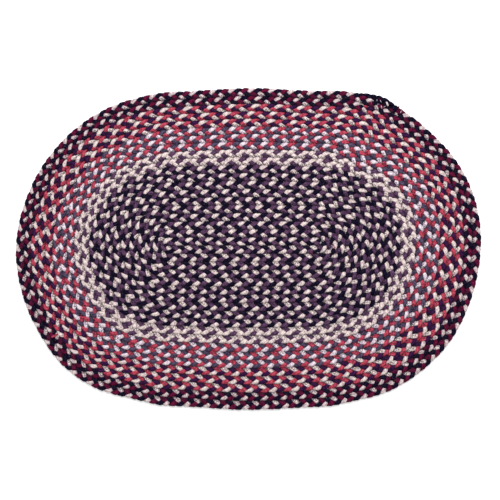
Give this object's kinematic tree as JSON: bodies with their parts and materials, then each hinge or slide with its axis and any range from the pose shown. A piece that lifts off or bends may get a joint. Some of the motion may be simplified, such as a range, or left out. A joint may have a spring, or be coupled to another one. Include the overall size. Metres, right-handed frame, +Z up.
{
  "type": "oval braided rug",
  "caption": "Flat oval rug: a plaited fabric braid wound in a spiral and sewn edge to edge, plum and cream in the middle, then cream, red with grey, red with purple, and a burgundy rim.",
  "frame": {"origin": "centre of the rug's outline on its flat underside", "axes": "+X along the rug's long side, +Y across it towards the side where the braid ends, +Z up out of the floor"},
  "size_m": [0.735, 0.5082, 0.0086],
  "materials": {
    "braid": "matte braided yarn"
  },
  "bodies": {
    "root": {"braided_rug": "braid"}
  },
  "joints": []
}
